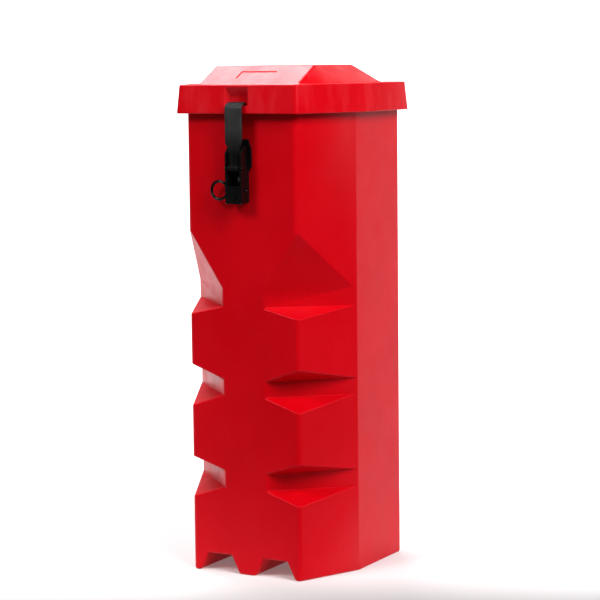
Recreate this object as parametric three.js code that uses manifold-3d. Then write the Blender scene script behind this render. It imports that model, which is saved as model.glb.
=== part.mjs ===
// A top-loading box for a portable fire extinguisher, as carried on a lorry's chassis.
// Millimetres, +Z up, +X to the right, -Y to the front. The box stands on z = 0.
import * as THREE from "three";
import { ConvexGeometry } from "three/addons/geometries/ConvexGeometry.js";
import { mergeVertices } from "three/addons/utils/BufferGeometryUtils.js";
import Module from "manifold-3d";

const wasm = await Module();
wasm.setup();

// ---- driving dimensions ----

// plan of the body: a rectangle with deep front chamfers and small rear ones
const FRONT_Y = -99.5;
const BACK_Y = 99.5;
const FRONT_HALF = 72.5; // half width of the front face
const BODY_HALF = 108; // half width across the sides
const REAR_HALF = 99.5; // half width of the back face
const CHAMFER_END_Y = -18.6; // where a front chamfer meets the side
const REAR_CORNER_Y = 91; // where a rear chamfer meets the side
const CORNER_R = 4;
const CORNER_STEPS = 3;
const WALL = 3.5;

// heights of the body
const SHOULDER_Z = 549; // the walls step in here to a neck inside the lid
const RIM_Z = 572;
const NECK_INSET = 4;

// corner recesses: they guide the cylinder inside and stiffen the front corners
const RECESS_FRONT_X = 28.1; // where a recess starts on the front face
const RECESS_SHARE = 0.95; // how far along the chamfer it ends
const RECESSES = [
  { apex: 409.7, wallTop: 341.3, wallBottom: 319.6, sill: 309.0 },
  { apex: 249.2, wallTop: 233.2, wallBottom: 214.0, sill: 198.9 },
  { apex: 138.0, wallTop: 124.0, wallBottom: 103.2, sill: 88.7 },
];

// two channels under the floor, open to the front and the back
const CHANNEL = { innerFoot: 10.6, innerTop: 22, outerTop: 53.9, outerFoot: 65.2, height: 21.5 };
const DRAIN = { x: 86, y: 30, r: 4 };

// mounting rails on the back, each with two threaded inserts
const RAIL = { inner: 52, outer: 78, bottom: 70, top: 498, y: 122 };
const INSERT_Z = [112, 456];
const INSERT = { r: 6.5, length: 16, bore: 3.4, depth: 14 };
const BOSS_HALF = 12; // half height of the solid block round an insert

// lid
const SKIRT_Z = 545.4;
const LID_FLAT_Z = 578.9;
const ROOF_Z = 600;
const SKIRT_OFFSET = 11.8; // skirt outside the body, at its foot
const LID_TOP_OFFSET = 8.5; // and at the flat rim
const LID_WALL = 3;
const ROOF_BASE = [[67, -82], [90, -16.4], [90, 80.9], [82, 88]];
const ROOF_TOP = [[66.7, -42.7], [66.7, 50.7]];
const PLAQUE = { half: 23.6, low: 0.34, high: 0.7, depth: 0.8 };

// pocket in the lid's skirt for the strap's hook: half width at its back, and how it flares forwards
const POCKET_HALF = 11.8;
const POCKET_FLARE = 0.52;
const POCKET_WALL = 2.7;
const LEDGE_Z = 555;
const POCKET_FLOOR_Z = 549;
const POCKET_BACK_Y = -102.6;
const LEDGE_BACK_Y = -107.4;

// hinges
const HINGE_X = 58;
const HINGE_HALF = 22;
const HINGE = { y: 117, z: 541 };
const KNUCKLE_R = 5;
const KNUCKLE_SPLIT = 10; // the body's knuckle lies inside this, the lid's two outside
const HINGE_PIN_R = 2;
const LEAF = 3;

// latch: the lever turns about PIVOT, the strap about STRAP_PIN
const PIVOT = { y: -109.5, z: 504.5, r: 1.8 };
const STRAP_PIN = { y: -116, z: 483, r: 1.5 };
const EAR = { inner: 5.6, outer: 8.1, r: 3.6 };
const LEVER = { inner: 8.5, outer: 11, plateTop: 462.4, bottom: 442, front: -118.5, plate: 2.5 };
const BASE_FRONT_Y = -102.5;
const STRAP_HALF = 11.2;
const TONGUE = { top: 8, eye: 6.6 };
const SAFETY = { y: -110, z: 457, r: 1.5 };
const RING = { x: -23.7, r: 10.5, tube: 1.7 };
const LATCH_RIVET_Z = [470, 498];

const GAP = 0.3; // between pieces that touch
const RUNNING = 0.06; // radial, between a pin and its bore

// ---- materials ----

const paint = (color, roughness, metalness = 0) =>
  new THREE.MeshStandardMaterial({ color, roughness, metalness });
const RED = paint("#c4121f", 0.38);
const BLACK_NYLON = paint("#141416", 0.3);
const STRAP_RUBBER = paint("#2b2c2e", 0.75);
const SEAL_RUBBER = paint("#1c1c1d", 0.85);
const MAT_RUBBER = paint("#232324", 0.9);
const ZINC = paint("#b9bcc0", 0.35, 0.9);
const BLACK_STEEL = paint("#2a2b2d", 0.35, 0.9);
const BRASS = paint("#b08d4a", 0.4, 0.9);
const ALUMINIUM = paint("#c9ccd0", 0.4, 0.9);

// ---- helpers ----

/** A closed three.js geometry as a manifold-3d solid. */
function solid(geometry) {
  const bare = geometry.index ? geometry.toNonIndexed() : geometry.clone();
  bare.deleteAttribute("normal");
  bare.deleteAttribute("uv");
  const merged = mergeVertices(bare, 1e-4);
  return new wasm.Manifold(
    new wasm.Mesh({
      numProp: 3,
      vertProperties: merged.attributes.position.array,
      triVerts: new Uint32Array(merged.index.array),
    }),
  );
}

/** A manifold-3d solid as a named three.js mesh. */
function node(name, shape, material) {
  const made = shape.getMesh();
  const geometry = new THREE.BufferGeometry();
  geometry.setAttribute("position", new THREE.BufferAttribute(made.vertProperties, 3));
  geometry.setIndex(new THREE.BufferAttribute(made.triVerts, 1));
  const flat = geometry.toNonIndexed();
  flat.computeVertexNormals();
  const mesh = new THREE.Mesh(flat, material);
  mesh.name = name;
  return mesh;
}

const AXIS_BASIS = {
  x: [[0, 1, 0], [0, 0, 1], [1, 0, 0]],
  y: [[1, 0, 0], [0, 0, 1], [0, -1, 0]],
  z: [[1, 0, 0], [0, 1, 0], [0, 0, 1]],
};

/** A profile swept straight along an axis. Profiles are (y, z) for x, (x, z) for y, (x, y) for z. */
function extrude(profile, axis, from, to) {
  const shape = new THREE.Shape(profile.map(([u, v]) => new THREE.Vector2(u, v)));
  const geometry = new THREE.ExtrudeGeometry(shape, { depth: to - from, bevelEnabled: false });
  geometry.translate(0, 0, axis === "y" ? -to : from);
  const basis = AXIS_BASIS[axis].map((v) => new THREE.Vector3(...v));
  geometry.applyMatrix4(new THREE.Matrix4().makeBasis(...basis));
  return solid(geometry);
}

/** A box between two corners. */
const block = ([x0, y0, z0], [x1, y1, z1]) =>
  extrude([[x0, y0], [x1, y0], [x1, y1], [x0, y1]], "z", z0, z1);

/** Points on an arc, angles in degrees. */
function arc([u, v], r, from, to, steps = 12) {
  return Array.from({ length: steps + 1 }, (_, i) => {
    const a = THREE.MathUtils.degToRad(from + ((to - from) * i) / steps);
    return [u + r * Math.cos(a), v + r * Math.sin(a)];
  });
}

/** A round bar along an axis. */
function rod(axis, centre, r, from, to, steps = 32) {
  return extrude(arc(centre, r, 0, 360, steps).slice(0, steps), axis, from, to);
}

/** A turned piece about Z from (radius, height) points that start and end on the axis. */
function turned(points, steps = 24) {
  const profile = points.map(([r, h]) => new THREE.Vector2(r, h));
  return solid(new THREE.LatheGeometry(profile, steps).rotateX(Math.PI / 2));
}

/** A solid through stacked convex rings that have equal point counts. */
function loft(rings) {
  const n = rings[0].points.length;
  const at = (k, i) => {
    const [x, y] = rings[k].points[(i + n) % n];
    return [x, y, rings[k].z];
  };
  const corners = [];
  for (let i = 1; i < n - 1; i++) {
    corners.push(at(0, 0), at(0, i + 1), at(0, i));
    const top = rings.length - 1;
    corners.push(at(top, 0), at(top, i), at(top, i + 1));
  }
  for (let k = 0; k < rings.length - 1; k++) {
    for (let i = 0; i < n; i++) {
      corners.push(at(k, i), at(k, i + 1), at(k + 1, i + 1));
      corners.push(at(k, i), at(k + 1, i + 1), at(k + 1, i));
    }
  }
  const geometry = new THREE.BufferGeometry();
  geometry.setAttribute("position", new THREE.Float32BufferAttribute(corners.flat(), 3));
  return solid(geometry);
}

const union = (...shapes) => shapes.reduce((sum, shape) => sum.add(shape));
const without = (shape, ...cuts) => cuts.reduce((left, cut) => left.subtract(cut), shape);
const mirrored = (shape) => shape.mirror([1, 0, 0]);
const bothSides = (shape) => shape.add(mirrored(shape));

/** Moves each edge of a counter-clockwise polygon outwards. */
function offsetPolygon(points, distance) {
  const n = points.length;
  const edges = points.map((p, i) => {
    const q = points[(i + 1) % n];
    const length = Math.hypot(q[0] - p[0], q[1] - p[1]);
    const along = [(q[0] - p[0]) / length, (q[1] - p[1]) / length];
    return { along, start: [p[0] + along[1] * distance, p[1] - along[0] * distance] };
  });
  return edges.map((b, i) => {
    const a = edges[(i + n - 1) % n];
    const cross = a.along[0] * b.along[1] - a.along[1] * b.along[0];
    const dx = b.start[0] - a.start[0];
    const dy = b.start[1] - a.start[1];
    const t = (dx * b.along[1] - dy * b.along[0]) / cross;
    return [a.start[0] + a.along[0] * t, a.start[1] + a.along[1] * t];
  });
}

/** Rounds each corner of a convex polygon with a quadratic curve that starts r before it. */
function roundCorners(points, r, steps) {
  const n = points.length;
  return points.flatMap((p, i) => {
    const corner = new THREE.Vector2(...p);
    const before = new THREE.Vector2(...points[(i + n - 1) % n]).sub(corner);
    const after = new THREE.Vector2(...points[(i + 1) % n]).sub(corner);
    const from = before.setLength(Math.min(r, before.length() * 0.4)).add(corner);
    const to = after.setLength(Math.min(r, after.length() * 0.4)).add(corner);
    const curve = new THREE.QuadraticBezierCurve(from, corner, to);
    return curve.getPoints(steps).map((v) => [v.x, v.y]);
  });
}

const rightHalf = [
  [FRONT_HALF, FRONT_Y],
  [BODY_HALF, CHAMFER_END_Y],
  [BODY_HALF, REAR_CORNER_Y],
  [REAR_HALF, BACK_Y],
];
const mirrorPoints = (points) => points.map(([x, y]) => [-x, y]).reverse();
const PLAN = [...rightHalf, ...mirrorPoints(rightHalf)];

/** The body's plan moved outwards, with its corners rounded. */
const outline = (offset) => roundCorners(offsetPolygon(PLAN, offset), CORNER_R, CORNER_STEPS);

/** A solid through the body's plan at a list of [height, offset]. */
const planLoft = (levels) => loft(levels.map(([z, offset]) => ({ z, points: outline(offset) })));

// ---- body ----

/** A corner recess as a bar along its inner wall; grow moves its faces outwards into the body. */
function recess({ apex, wallTop, wallBottom, sill }, grow) {
  const start = new THREE.Vector2(RECESS_FRONT_X, FRONT_Y);
  const corner = new THREE.Vector2(FRONT_HALF, FRONT_Y);
  const end = corner.clone().lerp(new THREE.Vector2(BODY_HALF, CHAMFER_END_Y), RECESS_SHARE);
  const along = end.clone().sub(start).normalize();
  const out = new THREE.Vector2(along.y, -along.x);
  const depth = corner.clone().sub(start).dot(out);
  const rise = (apex - wallTop) / depth;
  const fall = (wallBottom - sill) / depth;
  const far = 2 * depth;
  const ceiling = (n) => wallTop + n * rise + grow * Math.hypot(1, rise);
  const floor = (n) => wallBottom - n * fall - grow * Math.hypot(1, fall);
  const profile = [[-grow, floor(-grow)], [far, floor(far)], [far, ceiling(far)], [-grow, ceiling(-grow)]];
  const geometry = new THREE.ExtrudeGeometry(
    new THREE.Shape(profile.map(([n, z]) => new THREE.Vector2(n, z))),
    { depth: 200, bevelEnabled: false },
  );
  geometry.translate(0, 0, -150);
  geometry.applyMatrix4(
    new THREE.Matrix4().makeBasis(
      new THREE.Vector3(out.x, out.y, 0),
      new THREE.Vector3(0, 0, 1),
      new THREE.Vector3(-along.x, -along.y, 0),
    ),
  );
  geometry.translate(start.x, start.y, 0);
  return solid(geometry);
}

/** The right-hand channel under the floor; grow thickens it for the floor above. */
function channel(grow) {
  const { innerFoot, innerTop, outerTop, outerFoot, height } = CHANNEL;
  const profile = [
    [innerFoot - grow, -1],
    [outerFoot + grow, -1],
    [outerTop + grow * 0.8, height + grow],
    [innerTop - grow * 0.8, height + grow],
  ];
  return extrude(profile, "y", FRONT_Y - 20, RAIL.y + 20);
}

/** The hollow inside the right-hand rail, with a solid block left round each insert. */
function railHollow() {
  const ends = [RAIL.bottom + WALL];
  for (const z of INSERT_Z) {
    ends.push(z - BOSS_HALF, z + BOSS_HALF);
  }
  ends.push(RAIL.top - WALL);
  const pockets = [];
  for (let i = 0; i < ends.length; i += 2) {
    const low = [RAIL.inner + WALL, BACK_Y - 2 * WALL, ends[i]];
    const high = [RAIL.outer - WALL, RAIL.y - WALL, ends[i + 1]];
    pockets.push(block(low, high));
  }
  return union(...pockets);
}

function bodyShell() {
  const outer = planLoft([
    [0, -2],
    [2, 0],
    [SHOULDER_Z, 0],
    [SHOULDER_Z, -NECK_INSET],
    [RIM_Z, -NECK_INSET],
  ]);
  const inner = planLoft([
    [WALL, -WALL - 2],
    [WALL + 2, -WALL],
    [SHOULDER_Z - WALL, -WALL],
    [SHOULDER_Z - WALL, -WALL - NECK_INSET],
    [RIM_Z + 1, -WALL - NECK_INSET],
  ]);
  const rail = block([RAIL.inner, BACK_Y - 1, RAIL.bottom], [RAIL.outer, RAIL.y, RAIL.top]);
  const recesses = RECESSES.map((level) => bothSides(recess(level, 0)));
  const linings = RECESSES.map((level) => bothSides(recess(level, WALL)));
  const hollow = without(inner, ...linings, bothSides(channel(WALL)));
  const walls = without(
    union(outer, bothSides(rail)),
    ...recesses,
    bothSides(channel(0)),
    hollow,
    bothSides(railHollow()),
  );
  return without(walls, ...bodyHoles());
}

/** Holes for inserts, hinge rivets, latch rivets and drainage. */
function bodyHoles() {
  const holes = [bothSides(rod("z", [DRAIN.x, DRAIN.y], DRAIN.r, -1, WALL + 1))];
  for (const z of INSERT_Z) {
    const x = (RAIL.inner + RAIL.outer) / 2;
    holes.push(bothSides(rod("y", [x, z], INSERT.r + GAP, RAIL.y - INSERT.length - GAP, RAIL.y + 1)));
  }
  for (const x of leafRivetX()) {
    holes.push(rod("y", [x, BODY_RIVET_Z], RIVET.shank + GAP, BACK_Y - 8, BACK_Y + 1, 24));
  }
  for (const z of LATCH_RIVET_Z) {
    holes.push(rod("y", [0, z], RIVET.shank + GAP, FRONT_Y - 1, FRONT_Y + 8, 24));
  }
  return holes;
}

/** Rubber mat that bridges the floor's channels; water runs past its edge to the drains. */
function floorMat() {
  const low = CHANNEL.height + WALL + GAP;
  return planLoft([[low, -6], [low + 4, -6]]);
}

/** Threaded insert about Z, its open face at z = 0. */
function insert() {
  const { r, length, bore, depth } = INSERT;
  return turned([
    [0, -length],
    [r - 0.8, -length],
    [r, -length + 0.8],
    [r, 0],
    [bore + 0.6, 0],
    [bore, -0.6],
    [bore, -depth],
    [0, -depth - 1.5],
  ]);
}

// ---- rivets ----

const RIVET = { shank: 1.6, head: 3.3, headHeight: 1.1, tail: 2.6 };
const BODY_RIVET_Z = 519;
const LID_RIVET_Z = 562;

/** X of the rivets in both hinges. */
function leafRivetX() {
  return [-1, 1].flatMap((side) => [-14, 14].map((dx) => side * HINGE_X + dx));
}

/** Blind rivet about Z: domed head above z = 0, set tail below the sheets it holds. */
function rivet(grip) {
  const { shank, head, headHeight, tail } = RIVET;
  return turned([
    [0, -grip - 3],
    [1.1, -grip - 3],
    [tail, -grip - 1.8],
    [tail, -grip - 0.6],
    [shank, -grip],
    [shank, 0],
    [head, 0],
    [head, 0.4],
    [head * 0.72, headHeight * 0.85],
    [1.1, headHeight],
    [0, headHeight - 0.3],
  ]);
}

/** Flat washer about Z, its lower face at z = 0. */
function washer(inner, outer, height) {
  return without(rod("z", [0, 0], outer, 0, height), rod("z", [0, 0], inner, -1, height + 1));
}

// ---- lid ----

const skirtOffset = (z) =>
  SKIRT_OFFSET + ((LID_TOP_OFFSET - SKIRT_OFFSET) * (z - SKIRT_Z)) / (LID_FLAT_Z - SKIRT_Z);

/** The hipped roof; shrink pulls its plan in and drop lowers it. */
function roof(shrink, drop) {
  const ring = (half, z, pull) =>
    [...half, ...mirrorPoints(half)].map(([x, y]) => {
      const k = 1 - pull / 90;
      return new THREE.Vector3(x * k, y * k, z);
    });
  const points = [
    ...ring(ROOF_BASE, LID_FLAT_Z - drop - 1, shrink - 1),
    ...ring(ROOF_BASE, LID_FLAT_Z - drop, shrink),
    ...ring(ROOF_TOP, ROOF_Z - drop, shrink),
  ];
  return solid(new ConvexGeometry(points));
}

/** Shallow blank panel let into the roof's front slope. */
function plaqueCut() {
  const [foot, crest] = [ROOF_BASE[0][1], ROOF_TOP[0][1]];
  const slope = Math.atan2(ROOF_Z - LID_FLAT_Z, crest - foot);
  const at = (share) => [foot + (crest - foot) * share, LID_FLAT_Z + (ROOF_Z - LID_FLAT_Z) * share];
  const shift = ([y, z], up) => [y - Math.sin(slope) * up, z + Math.cos(slope) * up];
  const [low, high] = [at(PLAQUE.low), at(PLAQUE.high)];
  const profile = [
    shift(low, -PLAQUE.depth),
    shift(high, -PLAQUE.depth),
    shift(high, 5),
    shift(low, 5),
  ];
  return extrude(profile, "x", -PLAQUE.half, PLAQUE.half);
}

/** Half width of the pocket, which flares towards the front. */
const pocketHalf = (y) => POCKET_HALF + POCKET_FLARE * (POCKET_BACK_Y - y);

/** The pocket's lining, before it is trimmed to the skirt. */
function pocketBlock() {
  const half = pocketHalf(FRONT_Y - SKIRT_OFFSET) + POCKET_WALL;
  const back = POCKET_BACK_Y + 2.4;
  const profile = [
    [-125, SKIRT_Z],
    [back, SKIRT_Z],
    [back, 566.5],
    [-104.5, 576.5],
    [-125, 576.5],
  ];
  return extrude(profile, "x", -half, half);
}

/** Space for the hook: a pocket behind the ledge and a ramp above it. */
function pocketCut() {
  const profile = [
    [-130, LEDGE_Z],
    [LEDGE_BACK_Y, LEDGE_Z],
    [LEDGE_BACK_Y, POCKET_FLOOR_Z],
    [POCKET_BACK_Y, POCKET_FLOOR_Z],
    [POCKET_BACK_Y, 565.5],
    [-108.3, LID_FLAT_Z - 1.9],
    [-130, LID_FLAT_Z - 1.9],
  ];
  const [front, back] = [-130, POCKET_BACK_Y + 1].map((y) => [pocketHalf(y), y]);
  const plan = [front, back, ...mirrorPoints([front, back])];
  return extrude(profile, "x", -30, 30).intersect(extrude(plan, "z", POCKET_FLOOR_Z - 1, LID_FLAT_Z));
}

function lidShell() {
  const outer = planLoft([
    [SKIRT_Z, SKIRT_OFFSET],
    [LID_FLAT_Z - 1.5, skirtOffset(LID_FLAT_Z - 1.5)],
    [LID_FLAT_Z, LID_TOP_OFFSET - 1.5],
  ]);
  const ceiling = LID_FLAT_Z - LID_WALL;
  const inner = planLoft([
    [SKIRT_Z - 1, skirtOffset(SKIRT_Z - 1) - LID_WALL],
    [ceiling, skirtOffset(ceiling) - LID_WALL],
  ]);
  const skirt = without(outer, inner);
  const pocket = pocketBlock().intersect(outer);
  const shell = without(union(skirt, pocket, roof(0, 0)), roof(3.5, LID_WALL), plaqueCut(), pocketCut());
  return without(shell, ...lidRivets().map(({ x }) => lidRivetHole(x)));
}

const skirtLean = Math.atan2(SKIRT_OFFSET - LID_TOP_OFFSET, LID_FLAT_Z - SKIRT_Z);

/** Where the lid leaf's rivets sit, on the leaf's outer face. */
function lidRivets() {
  const y = BACK_Y + skirtOffset(LID_RIVET_Z) + (GAP + LEAF + GAP) * Math.cos(skirtLean);
  return leafRivetX().map((x) => ({ x, y, z: LID_RIVET_Z }));
}

/** Hole for a lid rivet, square to the leaning skirt. */
function lidRivetHole(x) {
  const { y, z } = lidRivets()[0];
  const bar = rod("z", [0, 0], RIVET.shank + GAP, -14, 6, 24);
  const lean = THREE.MathUtils.radToDeg(skirtLean);
  return bar.rotate([-90 + lean, 0, 0]).translate([x, y, z]);
}

/** Foamed rubber ring under the lid's flat rim, above the body's rim. */
function lidSeal() {
  const low = RIM_Z + GAP;
  const high = LID_FLAT_Z - LID_WALL - GAP;
  const outer = planLoft([[low, -NECK_INSET + 1.5], [high, -NECK_INSET + 1.5]]);
  const inner = planLoft([[low - 1, -WALL - NECK_INSET - 1], [high + 1, -WALL - NECK_INSET - 1]]);
  return without(outer, inner);
}

// ---- hinges, each about its own x = 0 ----

const pinBore = () =>
  rod("x", [HINGE.y, HINGE.z], HINGE_PIN_R + RUNNING, -HINGE_HALF - 1, HINGE_HALF + 1);

/** Leaf riveted to the body's back wall, with the middle knuckle. */
function bodyLeaf() {
  const inside = BACK_Y + GAP;
  const plate = block([-HINGE_HALF, inside, 508], [HINGE_HALF, inside + LEAF, 538]);
  const reach = KNUCKLE_SPLIT - GAP;
  const web = [
    [inside + LEAF / 2, 529],
    [HINGE.y + 2, HINGE.z - 4.4],
    [HINGE.y, HINGE.z],
    [HINGE.y - 4, HINGE.z + 1],
    [inside + LEAF / 2, 538],
  ];
  const arm = extrude(web, "x", -reach, reach);
  const knuckle = rod("x", [HINGE.y, HINGE.z], KNUCKLE_R, -reach, reach);
  const holes = [-14, 14].map((dx) =>
    rod("y", [dx, BODY_RIVET_Z], RIVET.shank + GAP, inside - 1, inside + LEAF + 1, 24),
  );
  return without(union(plate, arm, knuckle), pinBore(), ...holes);
}

/** Leaf riveted to the lid's skirt, with the two outer knuckles. */
function lidLeaf() {
  const face = (z, out) => BACK_Y + skirtOffset(z) + out;
  const profile = [
    [face(547, GAP), 547],
    [face(547, GAP + LEAF), 547],
    [face(574, GAP + LEAF), 574],
    [face(574, GAP), 574],
  ];
  const plate = extrude(profile, "x", -HINGE_HALF, HINGE_HALF);
  const web = [
    [HINGE.y - 4.6, HINGE.z],
    [HINGE.y + 4.6, HINGE.z],
    [face(549, GAP + LEAF), 552],
    [face(549, GAP + 0.2), 549],
  ];
  const side = union(
    extrude(web, "x", KNUCKLE_SPLIT, HINGE_HALF),
    rod("x", [HINGE.y, HINGE.z], KNUCKLE_R, KNUCKLE_SPLIT, HINGE_HALF),
  );
  const holes = [-14, 14].map((dx) => lidRivetHole(dx));
  return without(union(plate, bothSides(side)), pinBore(), ...holes);
}

/** Headed hinge pin along X. */
function hingePin() {
  const centre = [HINGE.y, HINGE.z];
  const end = HINGE_HALF + GAP;
  return union(
    rod("x", centre, HINGE_PIN_R, -end - 1, end + 1),
    rod("x", centre, HINGE_PIN_R + 1.2, end, end + 1.6),
    rod("x", centre, HINGE_PIN_R + 1.2, -end - 1.6, -end),
  );
}

// ---- latch ----

/** Plate riveted to the front, with ears for the lever and a fork for the safety pin. */
function latchBase() {
  const half = [
    [10.2, 443],
    [10.4, 478],
    [14.4, 484],
    [14.4, 504],
    [10.4, 516],
  ];
  const plate = extrude([...half, ...mirrorPoints(half)], "y", BASE_FRONT_Y, FRONT_Y - GAP);
  const root = BASE_FRONT_Y + 1;
  const ear = extrude(
    [...arc([PIVOT.y, PIVOT.z], EAR.r, 90, 270), [root, 492], [root, 508.1]],
    "x",
    EAR.inner,
    EAR.outer,
  );
  const bore = rod("x", [PIVOT.y, PIVOT.z], PIVOT.r + RUNNING, EAR.inner - 1, EAR.outer + 1);
  const fork = without(
    extrude([[-113, 453.6], [root, 450.5], [root, 463.5], [-113, 460.4]], "x", 3, 5.4),
    extrude(
      [[-114, 454.8], [-110, 455.1], [-108.1, 455.6], [-108.1, 458.4], [-110, 458.9], [-114, 459.2]],
      "x",
      2,
      6,
    ),
  );
  const holes = LATCH_RIVET_Z.map((z) =>
    rod("y", [0, z], RIVET.shank + GAP, BASE_FRONT_Y - 1, FRONT_Y + 1, 24),
  );
  return without(union(plate, bothSides(without(ear, bore)), bothSides(fork)), ...holes);
}

/** Lever: two cheeks that carry the pins, joined by a thumb plate at the bottom. */
function latchLever() {
  const { inner, outer, plateTop, bottom, front, plate } = LEVER;
  const cheek = extrude(
    [
      [front, bottom + 1],
      [front + 1, bottom],
      [-112.5, bottom],
      [-103.6, 447],
      [-103.4, 476],
      [-103.8, 495],
      ...arc([PIVOT.y, PIVOT.z], 4.4, 0, 120, 8),
      [front, 500],
    ],
    "x",
    inner,
    outer,
  );
  const face = block([-inner - 0.5, front, bottom], [inner + 0.5, front + plate, plateTop]);
  const rail = block([-8.2, front - 0.5, plateTop - 1.8], [8.2, front + 1, plateTop]);
  const boss = rod("y", [0, 449.5], 3.6, front - 0.9, front + 1, 24);
  return without(
    union(bothSides(cheek), face, rail, boss),
    rod("x", [PIVOT.y, PIVOT.z], PIVOT.r + RUNNING, -outer - 1, outer + 1),
    rod("x", [STRAP_PIN.y, STRAP_PIN.z], STRAP_PIN.r + RUNNING, -outer - 1, outer + 1),
    rod("x", [SAFETY.y, SAFETY.z], SAFETY.r + RUNNING, -outer - 1, outer + 1),
  );
}

/** Stub pin through one ear and one cheek, on the right. */
function pivotStub() {
  const centre = [PIVOT.y, PIVOT.z];
  return union(
    rod("x", centre, PIVOT.r, EAR.inner - 0.1, LEVER.outer + 0.8),
    rod("x", centre, PIVOT.r + 0.8, LEVER.outer + GAP, LEVER.outer + 1.1),
  );
}

/** Headed pin from cheek to cheek that carries the strap. */
function strapPin() {
  const centre = [STRAP_PIN.y, STRAP_PIN.z];
  const head = rod("x", centre, STRAP_PIN.r + 0.6, LEVER.outer + GAP, LEVER.outer + 1);
  return union(rod("x", centre, STRAP_PIN.r, -LEVER.outer - 0.6, LEVER.outer + 0.6), bothSides(head));
}

/** Moulded rubber strap: an eye and tapered tongue below, a hook over the lid's ledge above. */
function rubberStrap() {
  const hook = [
    [-118, 509.2],
    [-114.2, 509.2],
    [-114.2, 553.3],
    [-113.2, 555.3],
    [-107.4, 555.3],
    [-106.4, 554.4],
    [-106.4, 551.4],
    [-104.9, 550.6],
    [-103.4, 551.4],
    [-103.4, 555.2],
    [-104.3, 557.4],
    [-106.4, 558.3],
    [-113.6, 558.3],
    [-116.4, 557.2],
    [-118, 554.2],
  ];
  const band = extrude(hook, "x", -STRAP_HALF, STRAP_HALF);
  const edge = [[TONGUE.eye, STRAP_PIN.z], [TONGUE.top, 507], [TONGUE.top, 512]];
  const tongue = extrude([...edge, ...mirrorPoints(edge)], "y", -118, -114.2);
  const eye = rod("x", [STRAP_PIN.y, STRAP_PIN.z], 3.6, -TONGUE.eye, TONGUE.eye);
  const bore = rod("x", [STRAP_PIN.y, STRAP_PIN.z], STRAP_PIN.r + RUNNING, -9, 9);
  return without(union(band, tongue, eye), bore);
}

/** Round steel pin through both cheeks and the base's fork, with a pointed end. */
function safetyPin() {
  const tip = turned([[0, 0], [SAFETY.r, 0], [SAFETY.r, 25], [0.6, 26.4], [0, 26.4]]);
  return tip.rotate([0, 90, 0]).translate([-12.9, SAFETY.y, SAFETY.z]);
}

/** Pull ring moulded round the safety pin's end. */
function pullRing() {
  const ring = solid(new THREE.TorusGeometry(RING.r, RING.tube, 16, 56).rotateX(Math.PI / 2));
  const hub = rod("x", [SAFETY.y, SAFETY.z], 2.9, -14.6, -LEVER.outer - GAP);
  const socket = rod("x", [SAFETY.y, SAFETY.z], SAFETY.r + GAP, -13.2, 0);
  return without(union(ring.translate([RING.x, SAFETY.y, SAFETY.z]), hub), socket);
}

// ---- assembly ----

const box = new THREE.Group();
box.name = "extinguisher_box";

/** Puts a node's mesh in the assembly, moved and turned from where its shape was drawn. */
function place(name, shape, material, position = [0, 0, 0], rotation = [0, 0, 0]) {
  const mesh = node(name, shape, material);
  mesh.position.set(...position);
  mesh.rotation.set(...rotation);
  box.add(mesh);
}

const QUARTER = Math.PI / 2;
const BACKWARDS = [-QUARTER, 0, 0]; // turns a piece drawn along +Z to face +Y
const FORWARDS = [QUARTER, 0, 0]; // and to face -Y

place("body_shell", bodyShell(), RED);
place("floor_mat", floorMat(), MAT_RUBBER);

for (const [side, sign] of [["left", -1], ["right", 1]]) {
  const railX = (sign * (RAIL.inner + RAIL.outer)) / 2;
  for (const [level, z] of [["lower", INSERT_Z[0]], ["upper", INSERT_Z[1]]]) {
    place(`mount_insert_${side}_${level}`, insert(), BRASS, [railX, RAIL.y, z], BACKWARDS);
  }
  place(`hinge_leaf_body_${side}`, bodyLeaf(), BLACK_NYLON, [sign * HINGE_X, 0, 0]);
  place(`hinge_leaf_lid_${side}`, lidLeaf(), BLACK_NYLON, [sign * HINGE_X, 0, 0]);
  place(`hinge_pin_${side}`, hingePin(), ZINC, [sign * HINGE_X, 0, 0]);
}

leafRivetX().forEach((x, i) => {
  const name = `${x < 0 ? "left" : "right"}_${i % 2 ? "b" : "a"}`;
  const bodyFace = BACK_Y + GAP + LEAF + GAP;
  const { y, z } = lidRivets()[i];
  const bodyGrip = GAP + LEAF + GAP + WALL + GAP;
  place(`body_rivet_${name}`, rivet(bodyGrip), ALUMINIUM, [x, bodyFace, BODY_RIVET_Z], BACKWARDS);
  place(`lid_rivet_${name}`, rivet(bodyGrip - 0.3), ALUMINIUM, [x, y, z], [-QUARTER + skirtLean, 0, 0]);
});

place("lid_shell", lidShell(), RED);
place("lid_seal", lidSeal(), SEAL_RUBBER);

place("latch_base", latchBase(), BLACK_NYLON);
for (const [level, z] of [["lower", LATCH_RIVET_Z[0]], ["upper", LATCH_RIVET_Z[1]]]) {
  const grip = FRONT_Y + WALL - BASE_FRONT_Y + 2 * GAP + 1.5 + GAP;
  const inside = [0, FRONT_Y + WALL + GAP, z];
  place(`latch_rivet_${level}`, rivet(grip), ALUMINIUM, [0, BASE_FRONT_Y - GAP, z], FORWARDS);
  place(`latch_washer_${level}`, washer(RIVET.shank + GAP, 7, 1.5), ZINC, inside, BACKWARDS);
}
place("latch_lever", latchLever(), BLACK_NYLON);
place("lever_pivot_right", pivotStub(), BLACK_STEEL);
place("lever_pivot_left", mirrored(pivotStub()), BLACK_STEEL);
place("strap_pin", strapPin(), BLACK_STEEL);
place("rubber_strap", rubberStrap(), STRAP_RUBBER);
place("safety_pin", safetyPin(), BLACK_STEEL);
place("pull_ring", pullRing(), BLACK_NYLON);

export default box;
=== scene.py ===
"""Looks of the extinguisher box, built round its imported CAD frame.

The builders work in millimetres: new_object turns their coordinates into metres.
"""

import math

import bmesh
import bpy
from mathutils import Matrix, Vector


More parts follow.
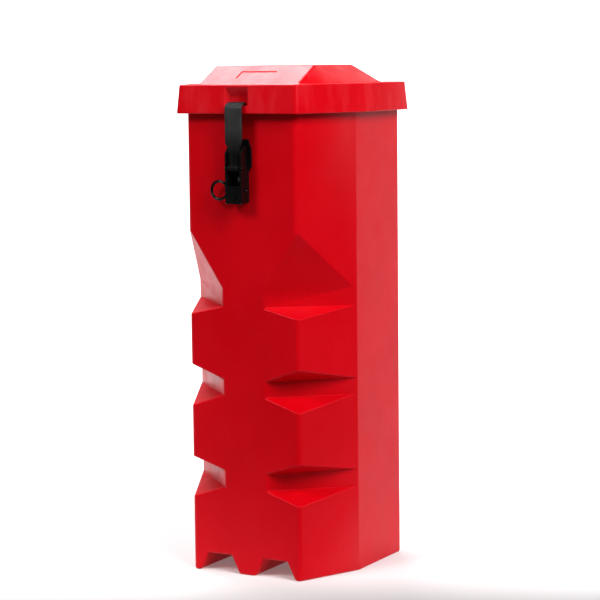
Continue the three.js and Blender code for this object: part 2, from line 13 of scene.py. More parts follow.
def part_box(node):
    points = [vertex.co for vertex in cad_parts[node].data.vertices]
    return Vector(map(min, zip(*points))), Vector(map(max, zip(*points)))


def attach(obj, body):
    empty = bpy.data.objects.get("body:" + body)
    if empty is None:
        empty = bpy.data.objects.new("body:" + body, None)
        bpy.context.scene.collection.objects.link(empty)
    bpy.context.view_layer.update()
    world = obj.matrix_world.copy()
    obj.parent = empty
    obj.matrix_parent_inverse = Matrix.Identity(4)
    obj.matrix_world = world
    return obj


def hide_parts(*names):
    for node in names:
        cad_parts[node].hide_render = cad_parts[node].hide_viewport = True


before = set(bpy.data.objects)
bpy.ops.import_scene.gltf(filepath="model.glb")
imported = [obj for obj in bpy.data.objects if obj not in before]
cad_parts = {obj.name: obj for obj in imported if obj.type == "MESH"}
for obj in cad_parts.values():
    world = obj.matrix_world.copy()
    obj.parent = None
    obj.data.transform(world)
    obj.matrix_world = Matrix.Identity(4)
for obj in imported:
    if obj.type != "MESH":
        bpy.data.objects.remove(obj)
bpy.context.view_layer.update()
MM = 0.001


def cad_box(node):
    """The lowest and highest corners of a CAD node, in millimetres."""
    return [tuple(round(c / MM, 3) for c in corner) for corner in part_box(node)]


def cad_middle(node):
    """The middle of a CAD node's box, in millimetres."""
    low, high = cad_box(node)
    return tuple((a + b) / 2 for a, b in zip(low, high))


(_, FRONT_Y, _), (SIDE_X, RAIL_Y, RIM_Z) = cad_box("body_shell")
(_, _, SKIRT_Z), (LID_SIDE_X, _, ROOF_Z) = cad_box("lid_shell")
INSERT_X, _, INSERT_LOW_Z = cad_middle("mount_insert_right_lower")
INSERT_HIGH_Z = cad_middle("mount_insert_right_upper")[2]
_, EYE_Y, EYE_Z = cad_middle("strap_pin")

# plan of the body, right half from the front: front corner, chamfer end, rear corner, back corner
CORNER_X, BACK_Y = 72.5, -FRONT_Y
HALF_PLAN = [(CORNER_X, FRONT_Y), (SIDE_X, -18.6), (SIDE_X, 91.0), (99.5, BACK_Y)]
WALL = 3.5
SHOULDER_Z, NECK_INSET = 549.0, 4.0
RECESS_START_X, RECESS_SHARE = 28.1, 0.95
RECESSES = [  # heights: apex on the corner, top and bottom of the inner wall, sill on the corner
    (409.7, 341.3, 319.6, 309.0),
    (249.2, 233.2, 214.0, 198.9),
    (138.0, 124.0, 103.2, 88.7),
]
CHANNEL_TOP_Z = 21.5
CHANNEL = [(10.6, -1.0), (65.2, -1.0), (53.9, CHANNEL_TOP_Z), (22.0, CHANNEL_TOP_Z)]
RAIL_HALF, RAIL_ENDS = 13.0, (70, 498)
RAIL_POCKETS = ((73.5, 100), (124, 444), (468, 494.5))
RAIL_FLOOR_Y, INSERT_FLOOR_Y, INSERT_HOLE_R = 118.5, 105.6, 6.9
DRAIN = (86, 30, 4)  # x, y, radius

LID_FLAT_Z = 578.9
SKIRT_OFFSET, LID_TOP_OFFSET, LID_WALL = LID_SIDE_X - SIDE_X, 8.5, 3.0
ROOF_BASE = [(67.0, -82.0), (90.0, -16.4), (90.0, 80.9), (82.0, 88.0)]
RIDGE_X, RIDGE_FRONT_Y, RIDGE_BACK_Y = 66.7, -42.7, 50.7
PLAQUE_HALF, PLAQUE_SHARE, PLAQUE_DEPTH = 23.6, (0.34, 0.7), 0.8

STRAP_Y, STRAP_HALF, STRAP_THICK = -116.1, 11.2, 1.9
TONGUE_END_Z, GROOVE_START_Z = 507.0, 512.0

# ---- mesh building ----


def new_object(name, verts, faces):
    """A mesh object from millimetre coordinates."""
    mesh = bpy.data.meshes.new(name)
    mesh.from_pydata([tuple(c * MM for c in v) for v in verts], [], faces)
    mesh.validate()
    obj = bpy.data.objects.new(name, mesh)
    bpy.context.scene.collection.objects.link(obj)
    return obj


def loft(name, rings):
    """A closed solid through rings of (x, y, z) points with equal counts."""
    n = len(rings[0])
    verts = [p for ring in rings for p in ring]
    faces = [tuple(reversed(range(n)))]
    for k in range(len(rings) - 1):
        a, b = k * n, (k + 1) * n
        faces += [(a + i, a + (i + 1) % n, b + (i + 1) % n, b + i) for i in range(n)]
    last = (len(rings) - 1) * n
    faces.append(tuple(range(last, last + n)))
    return new_object(name, verts, faces)


def sweep(name, profile, axis, low, high):
    """A profile swept along an axis: (y, z) points along x, or (x, z) along y, or (x, y) along z."""
    place = {
        "x": lambda u, v, w: (w, u, v),
        "y": lambda u, v, w: (u, w, v),
        "z": lambda u, v, w: (u, v, w),
    }[axis]
    ends = [[place(u, v, w) for u, v in profile] for w in (low, high)]
    return fix_normals(loft(name, ends))


def fix_normals(obj):
    """Turns all faces of a closed mesh outwards."""
    bm = bmesh.new()
    bm.from_mesh(obj.data)
    bmesh.ops.recalc_face_normals(bm, faces=bm.faces)
    bm.to_mesh(obj.data)
    bm.free()
    return obj


def mirrored(obj):
    """A copy of obj mirrored in x."""
    twin = obj.copy()
    twin.data = obj.data.copy()
    bpy.context.scene.collection.objects.link(twin)
    twin.data.transform(Matrix.Scale(-1, 4, (1, 0, 0)))
    twin.data.flip_normals()
    return twin


def combine(target, tools, operation):
    """Applies one exact boolean per tool to target and removes the tools."""
    for tool in tools:
        modifier = target.modifiers.new("combine", "BOOLEAN")
        modifier.operation = operation
        modifier.solver = "EXACT"
        modifier.object = tool
        depsgraph = bpy.context.evaluated_depsgraph_get()
        made = bpy.data.meshes.new_from_object(target.evaluated_get(depsgraph))
        target.modifiers.clear()
        target.data = made
        bpy.data.objects.remove(tool)
    return target


def clean(obj, angle=0.3):
    """Merges coincident vertices and joins coplanar faces."""
    bm = bmesh.new()
    bm.from_mesh(obj.data)
    bmesh.ops.remove_doubles(bm, verts=bm.verts, dist=0.01 * MM)
    bmesh.ops.dissolve_limit(
        bm, angle_limit=math.radians(angle), verts=bm.verts, edges=bm.edges
    )
    bm.to_mesh(obj.data)
    bm.free()
    return obj


def round_edges(obj, width, segments, weight=None, angle=25, clamp=False):
    """Bevels the edges sharper than angle; weight(midpoint, direction) scales each one's width."""
    bm = bmesh.new()
    bm.from_mesh(obj.data)
    layer = bm.edges.layers.float.get("bevel_weight_edge")
    layer = layer or bm.edges.layers.float.new("bevel_weight_edge")
    for edge in bm.edges:
        sharp = len(edge.link_faces) == 2 and edge.calc_face_angle(0) > math.radians(angle)
        middle = (edge.verts[0].co + edge.verts[1].co) / 2 / MM
        along = (edge.verts[1].co - edge.verts[0].co).normalized()
        edge[layer] = (weight(middle, along) if weight else 1.0) if sharp else 0.0
    bm.to_mesh(obj.data)
    bm.free()
    obj.data.shade_smooth()
    bevel = obj.modifiers.new("rounding", "BEVEL")
    bevel.limit_method = "WEIGHT"
    bevel.width = width * MM
    bevel.segments = segments
    bevel.use_clamp_overlap = clamp
    bevel.harden_normals = False
    bevel.miter_outer = "MITER_SHARP"
    normals = obj.modifiers.new("normals", "WEIGHTED_NORMAL")
    normals.mode = "FACE_AREA"
    normals.weight = 80
    return obj


def install(obj, body, slot, material, *nodes):
    """Makes obj a finished piece of the assembly."""
    obj.data.materials.clear()
    obj.data.materials.append(material)
    if nodes:
        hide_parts(*nodes)
    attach(obj, body)
    return obj


def arc(u, v, r, start, end, steps=10):
    """Points on an arc about (u, v), between two angles in degrees."""
    turn = [math.radians(start + (end - start) * i / steps) for i in range(steps + 1)]
    return [(u + r * math.cos(a), v + r * math.sin(a)) for a in turn]


def circle(u, v, r, steps=24):
    """Points once round a circle."""
    return arc(u, v, r, 0, 360 - 360 / steps, steps - 1)


def outline(offset, z=None):
    """The body's plan moved outwards by offset, counter-clockwise, in 3-D at a height z."""
    plan = HALF_PLAN + [(-x, y) for x, y in reversed(HALF_PLAN)]
    edges = []
    for i, p in enumerate(plan):
        q = plan[(i + 1) % len(plan)]
        length = math.hypot(q[0] - p[0], q[1] - p[1])
        dx, dy = (q[0] - p[0]) / length, (q[1] - p[1]) / length
        edges.append((p[0] + dy * offset, p[1] - dx * offset, dx, dy))
    points = []
    for i, (bx, by, bdx, bdy) in enumerate(edges):
        ax, ay, adx, ady = edges[i - 1]
        t = ((bx - ax) * bdy - (by - ay) * bdx) / (adx * bdy - ady * bdx)
        points.append((ax + adx * t, ay + ady * t))
    return [(x, y, z) for x, y in points] if z is not None else points


# ---- body ----


def recess(levels, grow):
    """The bar that hollows a front corner between its sloping ceiling and its sill."""
    apex, wall_top, wall_bottom, sill = levels
    start = Vector((RECESS_START_X, HALF_PLAN[0][1]))
    corner = Vector(HALF_PLAN[0])
    end = corner.lerp(Vector(HALF_PLAN[1]), RECESS_SHARE)
    along = (end - start).normalized()
    out = Vector((along.y, -along.x))
    depth = (corner - start).dot(out)
    rise, fall = (apex - wall_top) / depth, (wall_bottom - sill) / depth
    far = 2 * depth
    ceiling = lambda n: wall_top + n * rise + grow * math.hypot(1, rise)
    floor = lambda n: wall_bottom - n * fall - grow * math.hypot(1, fall)
    section = [(-grow, floor(-grow)), (far, floor(far)), (far, ceiling(far)), (-grow, ceiling(-grow))]
    ends = []
    for s in (-60, 170):
        foot = start + along * s
        ends.append([(foot.x + out.x * n, foot.y + out.y * n, z) for n, z in section])
    return fix_normals(loft("recess", ends))


def both(one):
    """One tool and its mirror image."""
    return [one, mirrored(one)]


def inside_wall(p):
    """Whether a point lies clearly within the body's hollow in plan."""
    plan = outline(0)
    for i, (x0, y0) in enumerate(plan):
        x1, y1 = plan[(i + 1) % len(plan)]
        if (p.x - x0) * (y1 - y0) - (p.y - y0) * (x1 - x0) > -1.5 * math.hypot(x1 - x0, y1 - y0):
            return False
    return p.z > WALL - 1


def body_weight(p, along):
    """Share of the widest rounding for an edge of the body."""
    upright, inside = abs(along.z) > 0.98, inside_wall(p)
    if p.y > BACK_Y + 0.1:
        return 0.5
    if upright and abs(abs(p.x) - CORNER_X) < 0.3 and abs(p.y - FRONT_Y) < 0.3:
        return 1.0 if p.z > RECESSES[0][0] - 0.7 else 0.75
    if upright and abs(abs(p.x) - SIDE_X) < 0.3:
        return 0.5
    if p.z < CHANNEL_TOP_Z + 0.5 and not inside:
        return 0.6 if p.z < 0.5 else 0.7
    if inside:
        return 0.25
    return 0.3 if p.z > SHOULDER_Z - 1 else 0.36


def body_hollow():
    """The space inside the body: it keeps a full wall round the channels and the recesses."""
    levels = [(WALL, WALL), (WALL, SHOULDER_Z - WALL)]
    levels += [(WALL + NECK_INSET, SHOULDER_Z - WALL), (WALL + NECK_INSET, RIM_Z + 5)]
    hollow = loft("hollow", [outline(-inset, z) for inset, z in levels])
    thick = [(x + math.copysign(WALL, x - 40), z + (WALL if z > 0 else 0)) for x, z in CHANNEL]
    combine(hollow, both(sweep("channel", thick, "y", -130, 150)), "DIFFERENCE")
    for levels in RECESSES:
        combine(hollow, both(recess(levels, WALL)), "DIFFERENCE")
    return hollow


def cut_rails(shell):
    """Opens the back rails between their inserts, and bores the insert holes."""
    width = (INSERT_X - RAIL_HALF + WALL, INSERT_X + RAIL_HALF - WALL)
    pocket = [(x, y) for x, y in zip(width + width[::-1], (93, 93, RAIL_FLOOR_Y, RAIL_FLOOR_Y))]
    for low, high in RAIL_POCKETS:
        combine(shell, both(sweep("rail_pocket", pocket, "z", low, high)), "DIFFERENCE")
    for z in (INSERT_LOW_Z, INSERT_HIGH_Z):
        hole = circle(INSERT_X, z, INSERT_HOLE_R)
        combine(shell, both(sweep("insert_hole", hole, "y", INSERT_FLOOR_Y, 130)), "DIFFERENCE")


def build_body():
    """The moulded box with recessed front corners, channelled foot and hollow back rails."""
    levels = [(0, 0), (0, SHOULDER_Z), (NECK_INSET, SHOULDER_Z), (NECK_INSET, RIM_Z)]
    shell = loft("body_moulding", [outline(-inset, z) for inset, z in levels])
    for levels in RECESSES:
        combine(shell, both(recess(levels, 0)), "DIFFERENCE")
    left, right = INSERT_X - RAIL_HALF, INSERT_X + RAIL_HALF
    rail = [(left, BACK_Y - 0.5), (right, BACK_Y - 0.5), (right, RAIL_Y), (left, RAIL_Y)]
    combine(shell, both(sweep("rail", rail, "z", *RAIL_ENDS)), "UNION")
    combine(shell, both(sweep("channel", CHANNEL, "y", -130, 150)), "DIFFERENCE")
    combine(shell, [body_hollow()], "DIFFERENCE")
    cut_rails(shell)
    combine(shell, both(sweep("drain", circle(*DRAIN, 16), "z", -5, 8)), "DIFFERENCE")
    return round_edges(clean(shell), 5.0, 5, body_weight)


# ---- lid ----


def skirt_offset(z):
    """How far the lid's sloping skirt stands out from the body's plan at a height."""
    return SKIRT_OFFSET + (LID_TOP_OFFSET - SKIRT_OFFSET) * (z - SKIRT_Z) / (LID_FLAT_Z - SKIRT_Z)


def roof(name, shrink, drop):
    """The hipped roof as a closed solid, its plan pulled in and its height lowered."""
    k = 1 - shrink / ROOF_BASE[1][0]
    base = [(x * k, y * k) for x, y in ROOF_BASE + [(-x, y) for x, y in reversed(ROOF_BASE)]]
    z0, z1 = LID_FLAT_Z - drop, ROOF_Z - drop
    verts = [(x, y, z0 - 1) for x, y in base] + [(x, y, z0) for x, y in base]
    crown = [(RIDGE_X, RIDGE_FRONT_Y), (RIDGE_X, RIDGE_BACK_Y)]
    crown += [(-x, y) for x, y in reversed(crown)]
    verts += [(x * k, y * k, z1) for x, y in crown]
    h = range(8, 16)  # the roof's foot, anticlockwise from its right front corner
    fr, br, bl, fl = range(16, 20)  # the crown's corners
    faces = [tuple(reversed(range(8)))]
    faces += [(i, (i + 1) % 8, 8 + (i + 1) % 8, 8 + i) for i in range(8)]
    faces += [(fr, br, bl, fl)]
    faces += [(h[0], h[1], fr), (h[1], h[2], br, fr), (h[2], h[3], br), (h[3], h[4], bl, br)]
    faces += [(h[4], h[5], bl), (h[5], h[6], fl, bl), (h[6], h[7], fl), (h[7], h[0], fr, fl)]
    return fix_normals(new_object(name, verts, faces))


def plaque():
    """Cutter for the shallow blank panel in the roof's front slope."""
    run, rise = RIDGE_FRONT_Y - ROOF_BASE[0][1], ROOF_Z - LID_FLAT_Z
    slope = math.atan2(rise, run)

    def at(share, up):
        y = ROOF_BASE[0][1] + run * share - math.sin(slope) * up
        return y, LID_FLAT_Z + rise * share + math.cos(slope) * up

    low, high = PLAQUE_SHARE
    section = [at(low, -PLAQUE_DEPTH), at(high, -PLAQUE_DEPTH), at(high, 4), at(low, 4)]
    return sweep("plaque", section, "x", -PLAQUE_HALF, PLAQUE_HALF)


def pocket():
    """Cutter for the hook's pocket and the ramp above it, flaring towards the front."""
    ramp = [(-130, 555), (-107.4, 555), (-107.4, 549), (-102.6, 549)]
    ramp += [(-102.6, 563), (-103.2, 567), (-108.5, 576.3), (-130, 576.3)]
    plan = [(26, -130), (11.3, -101.6), (-11.3, -101.6), (-26, -130)]
    cut = sweep("ramp", ramp, "x", -30, 30)
    return combine(cut, [sweep("plan", plan, "z", 540, 590)], "INTERSECT")


def lid_weight(p, along):
    """Share of the widest rounding for an edge of the lid."""
    if abs(p.x) < 18 and -112 < p.y < -100 and 548 < p.z < 577.5:
        return 0.22
    if abs(p.x) < 24 and -75 < p.y < -50 and p.z > 583:
        return 0.16
    if abs(p.z - SKIRT_Z) < 0.5:
        return 0.45
    if abs(p.z - LID_FLAT_Z) < 0.5 and (abs(p.x) > 100 or p.y < -95 or p.y > 95):
        return 0.42
    if p.z > LID_FLAT_Z - 0.5:
        return 0.65
    return 1.0 if abs(along.z) > 0.9 else 0.4


def lid_block(name, inset, low, high):
    """The lid's outer form between two heights, pulled in by a wall."""
    return loft(name, [outline(skirt_offset(z) - inset, z) for z in (low, high)])


def build_lid():
    """The moulded lid: sloping skirt, flat rim, hollow hipped roof, and the hook's pocket."""
    shell = lid_block("lid_moulding", 0, SKIRT_Z, LID_FLAT_Z)
    combine(shell, [lid_block("hollow", LID_WALL, SKIRT_Z - 1, LID_FLAT_Z - LID_WALL)], "DIFFERENCE")
    combine(shell, [roof("roof", 0, 0)], "UNION")
    combine(shell, [roof("roof_hollow", 3.5, LID_WALL)], "DIFFERENCE")
    lining = [(-125, SKIRT_Z), (-100.2, SKIRT_Z), (-100.2, 566.5), (-104.5, 575.9), (-125, 575.9)]
    block = sweep("lining", lining, "x", -19.1, 19.1)
    combine(block, [lid_block("outer", 0, SKIRT_Z, LID_FLAT_Z)], "INTERSECT")
    combine(shell, [block], "UNION")
    combine(shell, [pocket(), plaque()], "DIFFERENCE")
    return round_edges(clean(shell), 3.2, 4, lid_weight)


# ---- strap ----


def strap_path():
    """Stations up the strap and over its hook: y, z, half thickness, half width."""
    tongue = [EYE_Z + (TONGUE_END_Z - EYE_Z) * i / 4 for i in range(5)]
    stations = [(z, 6.6 + 1.4 * i / 4) for i, z in enumerate(tongue)]
    stations += [(508.4, 8.3), (509.6, 9.8), (510.8, 10.8)]
    stations += [(512.6 + 5.0 * i, STRAP_HALF) for i in range(8)]
    stations = [(STRAP_Y, z, STRAP_THICK, half) for z, half in stations]
    for y, z in arc(-109.6, 550.6, 6.5, 180, 105, 8)[1:]:
        stations.append((y, z, 1.8, STRAP_HALF))
    stations += [(-109.6, 557.4, 1.65, STRAP_HALF)]
    for i in range(1, 8):
        a = math.radians(100 - 100 * i / 7)
        stations.append((-108.4 + 3.4 * math.cos(a), 554.2 + 3.5 * math.sin(a), 1.5, 11.1))
    stations += [(-105.0, 552.6, 1.4, 11.0), (-105.0, 551.5, 1.2, 10.8), (-105.0, 550.9, 0.5, 10.2)]
    return stations


def strap_ring(station, before, after):
    """The strap's rounded section at a station, square to its path, grooved down its sides."""
    y, z, thick, half = station
    along = Vector((after[0] - before[0], after[1] - before[1])).normalized()
    out = Vector((-along.y, along.x))
    ring = []
    for k in range(64):
        c, s = math.cos(2 * math.pi * k / 64), math.sin(2 * math.pi * k / 64)
        u = math.copysign(abs(c) ** 0.35, c) * half
        groove = 0.25 * math.exp(-(((abs(u) - 0.8 * half) / 0.8) ** 2)) if z > GROOVE_START_Z else 0
        v = math.copysign(abs(s) ** 0.45 * thick - groove, s)
        ring.append((u, y + out.x * v, z + out.y * v))
    return ring


def build_strap():
    """Moulded strap with soft edges and an eye for its pin."""
    path = strap_path()
    neighbours = zip(path, path[:1] + path[:-1], path[1:] + path[-1:])
    band = fix_normals(loft("strap_moulding", [strap_ring(*three) for three in neighbours]))
    combine(band, [sweep("eye", circle(EYE_Y, EYE_Z, 3.6), "x", -6.6, 6.6)], "UNION")
    combine(band, [sweep("bore", circle(EYE_Y, EYE_Z, 1.56), "x", -9, 9)], "DIFFERENCE")
    remesh = band.modifiers.new("skin", "REMESH")
    remesh.mode = "VOXEL"
    remesh.voxel_size = 0.4 * MM
    remesh.use_smooth_shade = True
    soften = band.modifiers.new("soften", "SMOOTH")
    soften.factor = 0.5
    soften.iterations = 2
    return band


# ---- small pieces refined from their CAD shape ----


def refined(node, width):
    """A copy of a CAD node with merged faces and rounded edges, standing for it."""
    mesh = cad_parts[node].data.copy()
    obj = bpy.data.objects.new("soft_" + node, mesh)
    bpy.context.scene.collection.objects.link(obj)
    return round_edges(clean(obj, 0.1), width, segments=2, angle=28, clamp=True)


# ---- materials ----


class Nodes:
    """Short-hand for a node tree."""

    def __init__(self, name):
        self.material = bpy.data.materials.new(name)
        self.material.use_nodes = True
        self.tree = self.material.node_tree
        self.shader = self.tree.nodes["Principled BSDF"]
        self.place = self.add("ShaderNodeTexCoord").outputs["Object"]

    def add(self, kind, **values):
        node = self.tree.nodes.new(kind)
        for key, value in values.items():
            if key in node.inputs:
                node.inputs[key].default_value = value
            else:
                setattr(node, key, value)
        return node

    def link(self, source, target):
        self.tree.links.new(source, target)
        return target

    def noise(self, scale, detail=3.0, rough=0.5, stretch=(1, 1, 1)):
        mapping = self.add("ShaderNodeMapping")
        mapping.inputs["Scale"].default_value = stretch
        self.link(self.place, mapping.inputs["Vector"])
        node = self.add("ShaderNodeTexNoise")
        node.inputs["Scale"].default_value = scale
        node.inputs["Detail"].default_value = detail
        node.inputs["Roughness"].default_value = rough
        self.link(mapping.outputs["Vector"], node.inputs["Vector"])
        return node.outputs["Fac"]

    def ramp(self, source, low, high, start=0.3, end=0.7):
        """A colour or grey between low and high as source goes from start to end."""
        node = self.add("ShaderNodeValToRGB")
        stops = node.color_ramp.elements
        stops[0].position, stops[1].position = start, end
        grey = lambda c: (c, c, c, 1) if isinstance(c, (int, float)) else (*c, 1)
        stops[0].color, stops[1].color = grey(low), grey(high)
        self.link(source, node.inputs["Fac"])
        return node.outputs["Color"]

    def mix(self, factor, a, b):
        node = self.add("ShaderNodeMix", data_type="RGBA")
        for value, socket in ((factor, 0), (a, 6), (b, 7)):
            target = node.inputs[socket]
            if isinstance(value, bpy.types.NodeSocket):
                self.link(value, target)
            else:
                target.default_value = value if isinstance(value, float) else (*value, 1)
        return node.outputs[2]

    def bump(self, height, strength, distance, normal=None):
        node = self.add("ShaderNodeBump")
        node.inputs["Strength"].default_value = strength
        node.inputs["Distance"].default_value = distance
        self.link(height, node.inputs["Height"])
        if normal is not None:
            self.link(normal, node.inputs["Normal"])
        return node.outputs["Normal"]

    def fade(self, direction, start, end, low=0.0, high=1.0):
        """low to high as the place goes from start to end, in metres along a direction."""
        along = self.add("ShaderNodeVectorMath", operation="DOT_PRODUCT")
        self.link(self.place, along.inputs[0])
        along.inputs[1].default_value = direction
        node = self.add("ShaderNodeMapRange")
        self.link(along.outputs["Value"], node.inputs["Value"])
        for key, value in (("From Min", start), ("From Max", end), ("To Min", low), ("To Max", high)):
            node.inputs[key].default_value = value
        return node.outputs["Result"]

    def finish(self, normal=None, **values):
        for key, value in values.items():
            target = self.shader.inputs[key.replace("_", " ")]
            if isinstance(value, bpy.types.NodeSocket):
                self.link(value, target)
            else:
                target.default_value = value
        if normal is not None:
            self.link(normal, self.shader.inputs["Normal"])
        return self.material


def red_plastic(name, wave, painted_sheen_strength):
    """Moulded polyethylene: slightly translucent, with flow marks, pale upright patches of painted sheen
    standing in for reflections, and drag lines.
    """
    n = Nodes(name)
    tone = n.ramp(n.noise(9, 4), (0.57, 0.0005, 0.007), (0.65, 0.001, 0.01))
    streak = n.noise(260, 2, 0.5, (1, 1, 0.012))
    streaked = n.mix(n.ramp(streak, 0.0, 0.16, 0.45, 0.8), tone, (0.68, 0.003, 0.014))
    # Pale pink patches stretched upright: painted sheen, standing in for reflections on the moulding.
    painted_sheen_share = n.ramp(n.noise(48, 3, 0.55, (1, 1, 0.3)), 0.0, painted_sheen_strength, 0.48, 0.66)
    colour = n.mix(painted_sheen_share, streaked, (0.66, 0.035, 0.045))
    rough = n.ramp(n.noise(38, 5, 0.6), 0.3, 0.42)
    waves = n.bump(n.noise(wave, 1.5, 0.4, (1, 1, 0.55)), 0.22, 0.004)
    drag = n.bump(streak, 0.05, 0.0004, waves)
    grain = n.bump(n.noise(900, 2), 0.06, 0.0002, drag)
    return n.finish(
        grain,
        Base_Color=colour,
        Roughness=rough,
        IOR=1.5,
        Specular_IOR_Level=0.3,
        Specular_Tint=(1.0, 0.5, 0.62, 1.0),
        Subsurface_Weight=0.08,
        Subsurface_Radius=(0.006, 0.001, 0.001),
        Subsurface_Scale=0.5,
    )


def black_nylon(name, low, high, tone=0.012):
    """Glass-filled nylon with a fine moulded grain."""
    n = Nodes(name)
    colour = n.ramp(n.noise(70, 4), (tone, tone, tone * 1.1), (tone * 1.6, tone * 1.6, tone * 1.7))
    rough = n.ramp(n.noise(160, 4, 0.6), low, high)
    grain = n.bump(n.noise(1500, 3), 0.04, 0.0001)
    return n.finish(grain, Base_Color=colour, Roughness=rough, Specular_IOR_Level=0.32, IOR=1.52)


def rubber(name, tone, rough, shaded_below=0.0):
    """Matte rubber with a dusty bloom and faint lengthways rub marks, painted near-black below a height
    as painted shade, with less gloss there.
    """
    n = Nodes(name)
    streak = n.noise(420, 3, 0.6, (1, 1, 0.03))
    base = n.ramp(n.noise(45, 5, 0.6), (tone, tone, tone * 1.05), (tone * 1.9, tone * 1.9, tone * 2))
    colour = n.mix(n.ramp(streak, 0.0, 0.5, 0.5, 0.75), base, (tone * 3.2, tone * 3.2, tone * 3.3))
    # Below the given height the colour turns near-black with fine streaks and the gloss drops: painted
    # shade.
    above_painted_shade = n.fade((0, 0, 1), shaded_below - 0.008, shaded_below + 0.02)
    painted_shade_tone = n.mix(n.ramp(streak, 0.0, 1.0, 0.45, 0.7), (0.003, 0.003, 0.0032), (0.014, 0.014, 0.0145))
    shade = n.mix(above_painted_shade, painted_shade_tone, colour)
    roughness = n.ramp(n.noise(120, 4), rough - 0.08, rough + 0.06)
    grain = n.bump(n.noise(1100, 4, 0.6), 0.2, 0.0003, n.bump(streak, 0.15, 0.0003))
    gloss = n.ramp(above_painted_shade, 0.12, 0.5, 0.0, 1.0)
    return n.finish(grain, Base_Color=shade, Roughness=roughness, Specular_IOR_Level=gloss, IOR=1.48)


def metal(name, colour, low, high):
    """Plated or drawn metal with faint handling marks."""
    n = Nodes(name)
    bright = tuple(min(1, c * 1.15) for c in colour)
    tone = n.ramp(n.noise(90, 5, 0.6), colour, bright)
    rough = n.ramp(n.noise(600, 3, 0.6), low, high)
    grain = n.bump(n.noise(1200, 2), 0.08, 0.0001)
    return n.finish(grain, Base_Color=tone, Roughness=rough, Metallic=1.0)


# ---- assembly ----

# The last figure sets the painted sheen: faint on the body, strong on the lid.
RED_BODY = red_plastic("moulded_red_body", 13, 0.03)
RED_LID = red_plastic("moulded_red_lid", 26, 0.45)
NYLON = black_nylon("satin_nylon", 0.3, 0.44, 0.006)
LEVER = black_nylon("glossy_nylon", 0.2, 0.34, 0.004)
# The strap's tongue, below 508 mm, is painted near-black as painted shade.
STRAP = rubber("strap_rubber", 0.016, 0.58, shaded_below=0.508)
SEAL = rubber("seal_rubber", 0.014, 0.85)
MAT = rubber("mat_rubber", 0.02, 0.85)
OXIDE = metal("black_oxide", (0.045, 0.045, 0.05), 0.2, 0.35)
ZINC = metal("zinc_plate", (0.62, 0.63, 0.65), 0.22, 0.38)
BRASS = metal("turned_brass", (0.6, 0.43, 0.19), 0.25, 0.4)
RIVET = metal("rivet_aluminium", (0.66, 0.67, 0.69), 0.3, 0.45)


def small_pieces():
    """Pieces refined from their CAD shape: node, body, slot, material, rounding."""
    pieces = [
        ("latch_base", "box", "black_nylon", NYLON, 0.5),
        ("latch_lever", "lever", "lever_nylon", LEVER, 0.5),
        ("pull_ring", "pin", "ring_nylon", LEVER, 0.2),
        ("safety_pin", "pin", "black_steel", OXIDE, 0.2),
        ("strap_pin", "lever", "black_steel", OXIDE, 0.2),
        ("floor_mat", "box", "mat_rubber", MAT, 0.8),
        ("lid_seal", "lid", "seal_rubber", SEAL, 0.8),
    ]
    for side in ("left", "right"):
        pieces += [
            (f"hinge_leaf_body_{side}", "box", "black_nylon", NYLON, 0.6),
            (f"hinge_leaf_lid_{side}", "lid", "black_nylon", NYLON, 0.6),
            (f"hinge_pin_{side}", "box", "zinc_steel", ZINC, 0.3),
            (f"lever_pivot_{side}", "lever", "black_steel", OXIDE, 0.2),
            (f"mount_insert_{side}_lower", "box", "insert_brass", BRASS, 0.15),
            (f"mount_insert_{side}_upper", "box", "insert_brass", BRASS, 0.15),
        ]
        for end in ("a", "b"):
            pieces.append((f"body_rivet_{side}_{end}", "box", "rivet_aluminium", RIVET, 0.12))
            pieces.append((f"lid_rivet_{side}_{end}", "lid", "rivet_aluminium", RIVET, 0.12))
    for level in ("lower", "upper"):
        pieces.append((f"latch_rivet_{level}", "box", "rivet_aluminium", RIVET, 0.12))
        pieces.append((f"latch_washer_{level}", "box", "zinc_steel", ZINC, 0.2))
    return pieces


install(build_body(), "box", "red_shell", RED_BODY, "body_shell")
install(build_lid(), "lid", "red_lid", RED_LID, "lid_shell")
install(build_strap(), "strap", "strap_rubber", STRAP, "rubber_strap")
for node, body, slot, material, width in small_pieces():
    install(refined(node, width), body, slot, material, node)


# ---- studio ----

CAMERA_TURN = (29.12, 6.62, -0.63)  # azimuth, elevation and roll in degrees
CAMERA_AIM, CAMERA_DISTANCE, CAMERA_LENS = (0, 0.03675, 0.31402), 2.5812, 126.47
BEND_Y, BEND_R, PAPER_REACH = 2.2, 0.5, 4.0  # metres
LIGHT_AIM_Z = 0.4


def studio_paper():
    """Pale paper that glows as painted light, more strongly further behind the object; white round and
    behind the object, painted grey as painted shade in front and far to the right.
    """
    n = Nodes("studio_paper")
    behind, right = (-0.487, 0.873, 0), (0.933, 0.359, 0)
    # The paper is painted grey in front of the object and far to its right: painted shade.
    front_edge = n.fade(behind, -0.34, -0.1)
    lit = n.add("ShaderNodeMath", operation="MULTIPLY")
    n.link(front_edge, lit.inputs[0])
    n.link(n.fade(right, 1.8, 0.7), lit.inputs[1])
    mottle = n.ramp(n.noise(2.5, 3), (0.74, 0.74, 0.75), (0.78, 0.78, 0.78))
    tone = n.mix(lit.outputs[0], (0.16, 0.16, 0.16), mottle)
    # The paper glows, weakly near the object, more strongly further behind it, and not at all in front:
    # painted light.
    lift = n.mix(n.fade(behind, 0.25, 1.5, 0.14, 0.85), (0.0, 0.0, 0.0), (1.0, 1.0, 1.0))
    glow = n.mix(front_edge, (0.0, 0.0, 0.0), lift)
    return n.finish(
        Base_Color=tone, Roughness=0.8, Specular_IOR_Level=0.1, Emission_Color=glow, Emission_Strength=1.0
    )


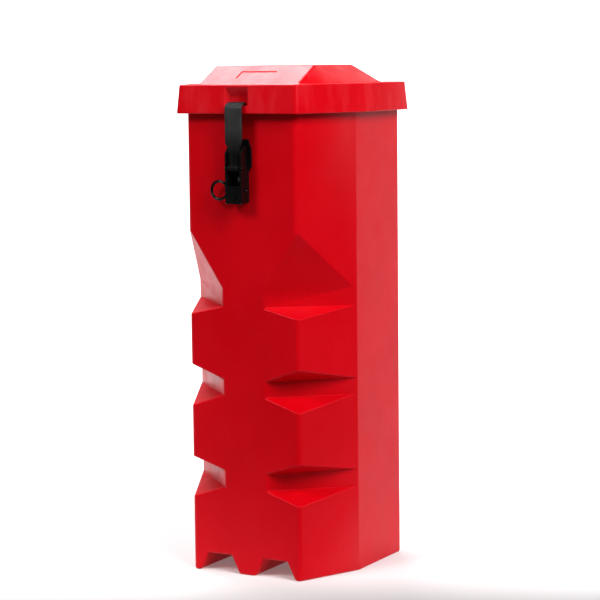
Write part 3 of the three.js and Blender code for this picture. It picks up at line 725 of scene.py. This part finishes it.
def build_backdrop():
    """Floor and low curved backdrop in one sheet."""
    bend = arc(BEND_Y, BEND_R, BEND_R, -90, 0, 12)
    profile = [(-PAPER_REACH, 0.0), (-1.0, 0.0), (0.6, 0.0)] + bend + [(BEND_Y + BEND_R, 0.84)]
    verts = [(x, y, z) for y, z in profile for x in (-PAPER_REACH, PAPER_REACH)]
    faces = [(2 * i, 2 * i + 1, 2 * i + 3, 2 * i + 2) for i in range(len(profile) - 1)]
    mesh = bpy.data.meshes.new("studio_sweep")
    mesh.from_pydata(verts, [], faces)
    mesh.shade_smooth()
    obj = bpy.data.objects.new("studio_sweep", mesh)
    bpy.context.scene.collection.objects.link(obj)
    mesh.materials.append(studio_paper())
    return obj


def area_light(name, direction, distance, size, power):
    """A softbox seen from the object in a direction, facing it."""
    light = bpy.data.lights.new(name, "AREA")
    light.shape = "RECTANGLE"
    light.size, light.size_y = size
    light.energy = power
    obj = bpy.data.objects.new(name, light)
    aim = Vector(direction).normalized()
    obj.location = Vector((0, 0, LIGHT_AIM_Z)) + aim * distance
    obj.rotation_euler = (-aim).to_track_quat("-Z", "Y").to_euler()
    bpy.context.scene.collection.objects.link(obj)
    return obj


def build_lights():
    """Four softboxes and a faint even light from all round."""
    area_light("key_front_left", (-0.35, -0.75, 0.62), 2.4, (0.7, 0.7), 23)
    area_light("fill_right_high", (0.8, -0.33, 0.68), 2.0, (1.1, 1.1), 38)
    area_light("top_back", (-0.483, 0.384, 0.787), 1.9, (1.25, 1.0), 30)
    area_light("back_high", (0.1, 0.85, 0.5), 2.4, (1.4, 0.7), 4)
    world = bpy.data.worlds.new("studio_air")
    world.use_nodes = True
    world.node_tree.nodes["Background"].inputs["Color"].default_value = (1, 1, 1, 1)
    world.node_tree.nodes["Background"].inputs["Strength"].default_value = 0.1
    bpy.context.scene.world = world


def build_camera():
    """A long lens a little above the box's middle, to the right of its front."""
    azimuth, elevation, roll = (math.radians(angle) for angle in CAMERA_TURN)
    back = Vector(
        (
            math.sin(azimuth) * math.cos(elevation),
            -math.cos(azimuth) * math.cos(elevation),
            math.sin(elevation),
        )
    )
    right = Vector((math.cos(azimuth), math.sin(azimuth), 0))
    up = back.cross(right)
    across = right * math.cos(roll) + up * math.sin(roll)
    upward = up * math.cos(roll) - right * math.sin(roll)
    data = bpy.data.cameras.new("camera")
    data.sensor_width = 36
    data.lens = CAMERA_LENS
    camera = bpy.data.objects.new("camera", data)
    turn = Matrix((across, upward, back)).transposed().to_4x4()
    camera.matrix_world = Matrix.Translation(Vector(CAMERA_AIM) + back * CAMERA_DISTANCE) @ turn
    bpy.context.scene.collection.objects.link(camera)
    bpy.context.scene.camera = camera


build_backdrop()
build_lights()
build_camera()
bpy.context.scene.view_settings.view_transform = "Standard"
bpy.context.scene.view_settings.look = "Medium High Contrast"
